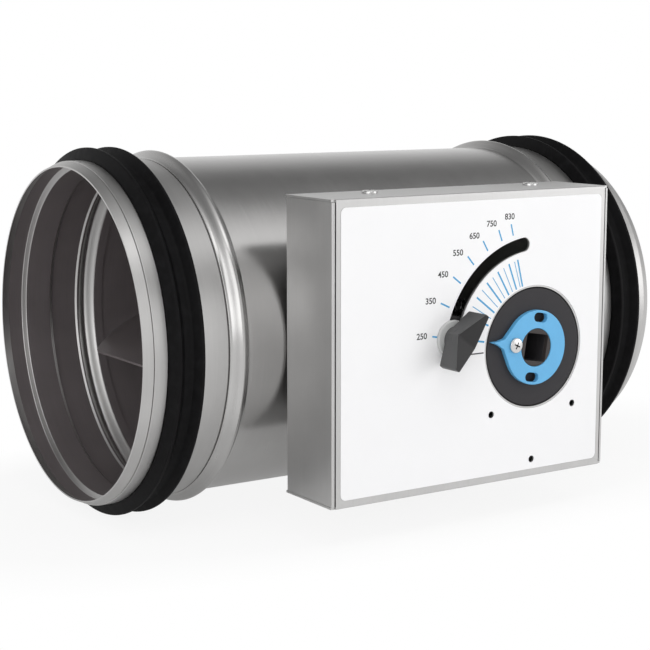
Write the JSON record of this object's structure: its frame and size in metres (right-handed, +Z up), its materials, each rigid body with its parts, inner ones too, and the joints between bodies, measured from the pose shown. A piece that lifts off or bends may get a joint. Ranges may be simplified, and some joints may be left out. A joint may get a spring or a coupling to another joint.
{
  "type": "constant air volume regulator",
  "caption": "Round in-duct air volume regulator: beaded sheet-metal duct with lip seals, spring-loaded damper blade, and a side box with an arc scale, pointer disc and wing knob.",
  "frame": {"origin": "middle of the duct axis, half way between the two spigot ends", "axes": "+X along the duct from the inlet to the outlet, +Z up, and the scale face of the box looks along -Y"},
  "size_m": [0.2906, 0.2177, 0.1706],
  "materials": {
    "galvanised_tube": "satin",
    "blade_steel": "satin",
    "box_steel": "satin",
    "zinc_steel": "bright",
    "spring_steel": "bright",
    "rivet_aluminium": "satin",
    "seal_rubber": "matte",
    "label_white": "satin",
    "bush_plastic": "matte",
    "dark_plastic": "matte",
    "pinion_plastic": "matte",
    "disc_plastic": "matte",
    "knob_plastic": "matte",
    "washer_grey": "matte",
    "pointer_blue": "satin"
  },
  "bodies": {
    "root": {"casing_tube": "galvanised_tube", "inlet_spigot": "galvanised_tube", "outlet_spigot": "galvanised_tube", "inlet_seal": "seal_rubber", "outlet_seal": "seal_rubber", "box_base": "box_steel", "box_cover": "box_steel", "scale_label": "label_white", "cover_screws": "zinc_steel", "upper_bracket": "box_steel", "lower_bracket": "box_steel", "bracket_rivets": "rivet_aluminium", "front_bush": "bush_plastic", "rear_bush": "bush_plastic", "damping_unit": "dark_plastic", "damper_screws": "zinc_steel", "stop_posts": "zinc_steel", "stop_buffers": "seal_rubber", "setting_bearing": "bush_plastic", "bearing_screws": "zinc_steel"},
    "blade": {"damper_blade": "blade_steel", "blade_shaft": "zinc_steel", "blade_screws": "zinc_steel", "thrust_washer": "bush_plastic", "shaft_clip": "zinc_steel", "shaft_lever": "zinc_steel", "lever_pin": "zinc_steel"},
    "pinion": {"damper_pinion": "pinion_plastic"},
    "setting": {"setting_disc": "disc_plastic", "pointer_ring": "pointer_blue", "pointer_screw": "zinc_steel", "spring_arm": "zinc_steel", "arm_pin": "zinc_steel", "tension_spring": "spring_steel", "clamp_bolt": "zinc_steel", "clamp_washer": "washer_grey"},
    "knob": {"wing_knob": "knob_plastic"}
  },
  "joints": [
    {"name": "blade_turn", "type": "hinge", "parent": "root", "child": "blade", "pos_m": [-0.0497, 0, 0], "axis": [0, -1, 0], "range_deg": [0, 62], "stiffness_Nm_per_rad": 0.35},
    {"name": "pinion_turn", "type": "hinge", "parent": "root", "child": "pinion", "pos_m": [-0.0497, -0.087, -0.02615], "axis": [0, -1, 0], "range_deg": [-206.67, 0]},
    {"name": "setting_turn", "type": "hinge", "parent": "root", "child": "setting", "pos_m": [0.0345, -0.1, -0.0057], "axis": [0, 1, 0], "range_deg": [-2, 72], "deforming": ["tension_spring"]},
    {"name": "knob_turn", "type": "hinge", "parent": "setting", "child": "knob", "pos_m": [-0.01296, -0.122, 0.00241], "axis": [0, -1, 0], "range_deg": [0, 360]}
  ],
  "couplings": [
    {"joint": "pinion_turn", "follows": "blade_turn", "ratio": -3.3333}
  ]
}
